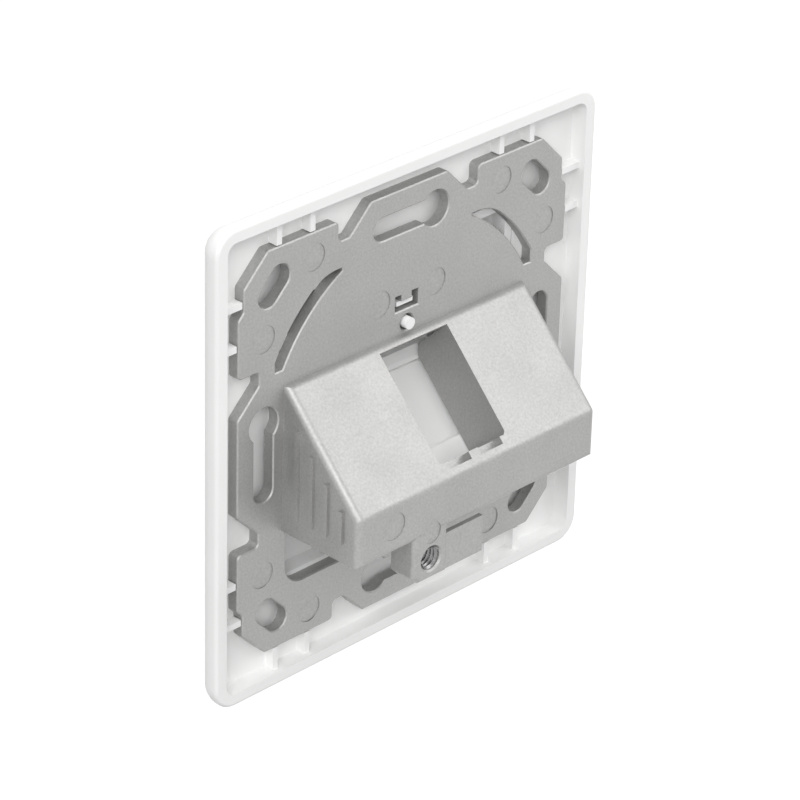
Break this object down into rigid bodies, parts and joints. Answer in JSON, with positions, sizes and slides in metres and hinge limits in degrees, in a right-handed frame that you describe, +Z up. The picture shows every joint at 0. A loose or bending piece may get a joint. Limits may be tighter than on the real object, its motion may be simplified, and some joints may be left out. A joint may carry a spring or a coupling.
{
  "type": "keystone faceplate",
  "caption": "Square faceplate with a die-cast carrier whose sloped housing takes a keystone jack behind an angled port with a dust flap.",
  "frame": {"origin": "centre of the 60 mm wall screw pattern, on the back face of the carrier plate that bears on the wall box", "axes": "+Z up, +Y into the wall (the keystone housing is on this side), +X to the right seen from the room"},
  "size_m": [0.081, 0.0254, 0.081],
  "materials": {
    "zinc_casting": "as cast, fine matt grain",
    "white_plastic": "satin, pure white",
    "label_paper": "matt, blank",
    "clear_window": "polished, clear"
  },
  "bodies": {
    "faceplate": {"carrier": "zinc_casting", "cover_frame": "white_plastic", "centre_plate": "white_plastic", "label_card": "label_paper", "label_window": "clear_window"},
    "flap": {"dust_flap": "white_plastic"}
  },
  "joints": [
    {"name": "flap_hinge", "type": "hinge", "parent": "faceplate", "child": "flap", "pos_m": [0, -0.00709, 0.00109], "axis": [-1, 0, 0], "range_deg": [0, 90]}
  ]
}
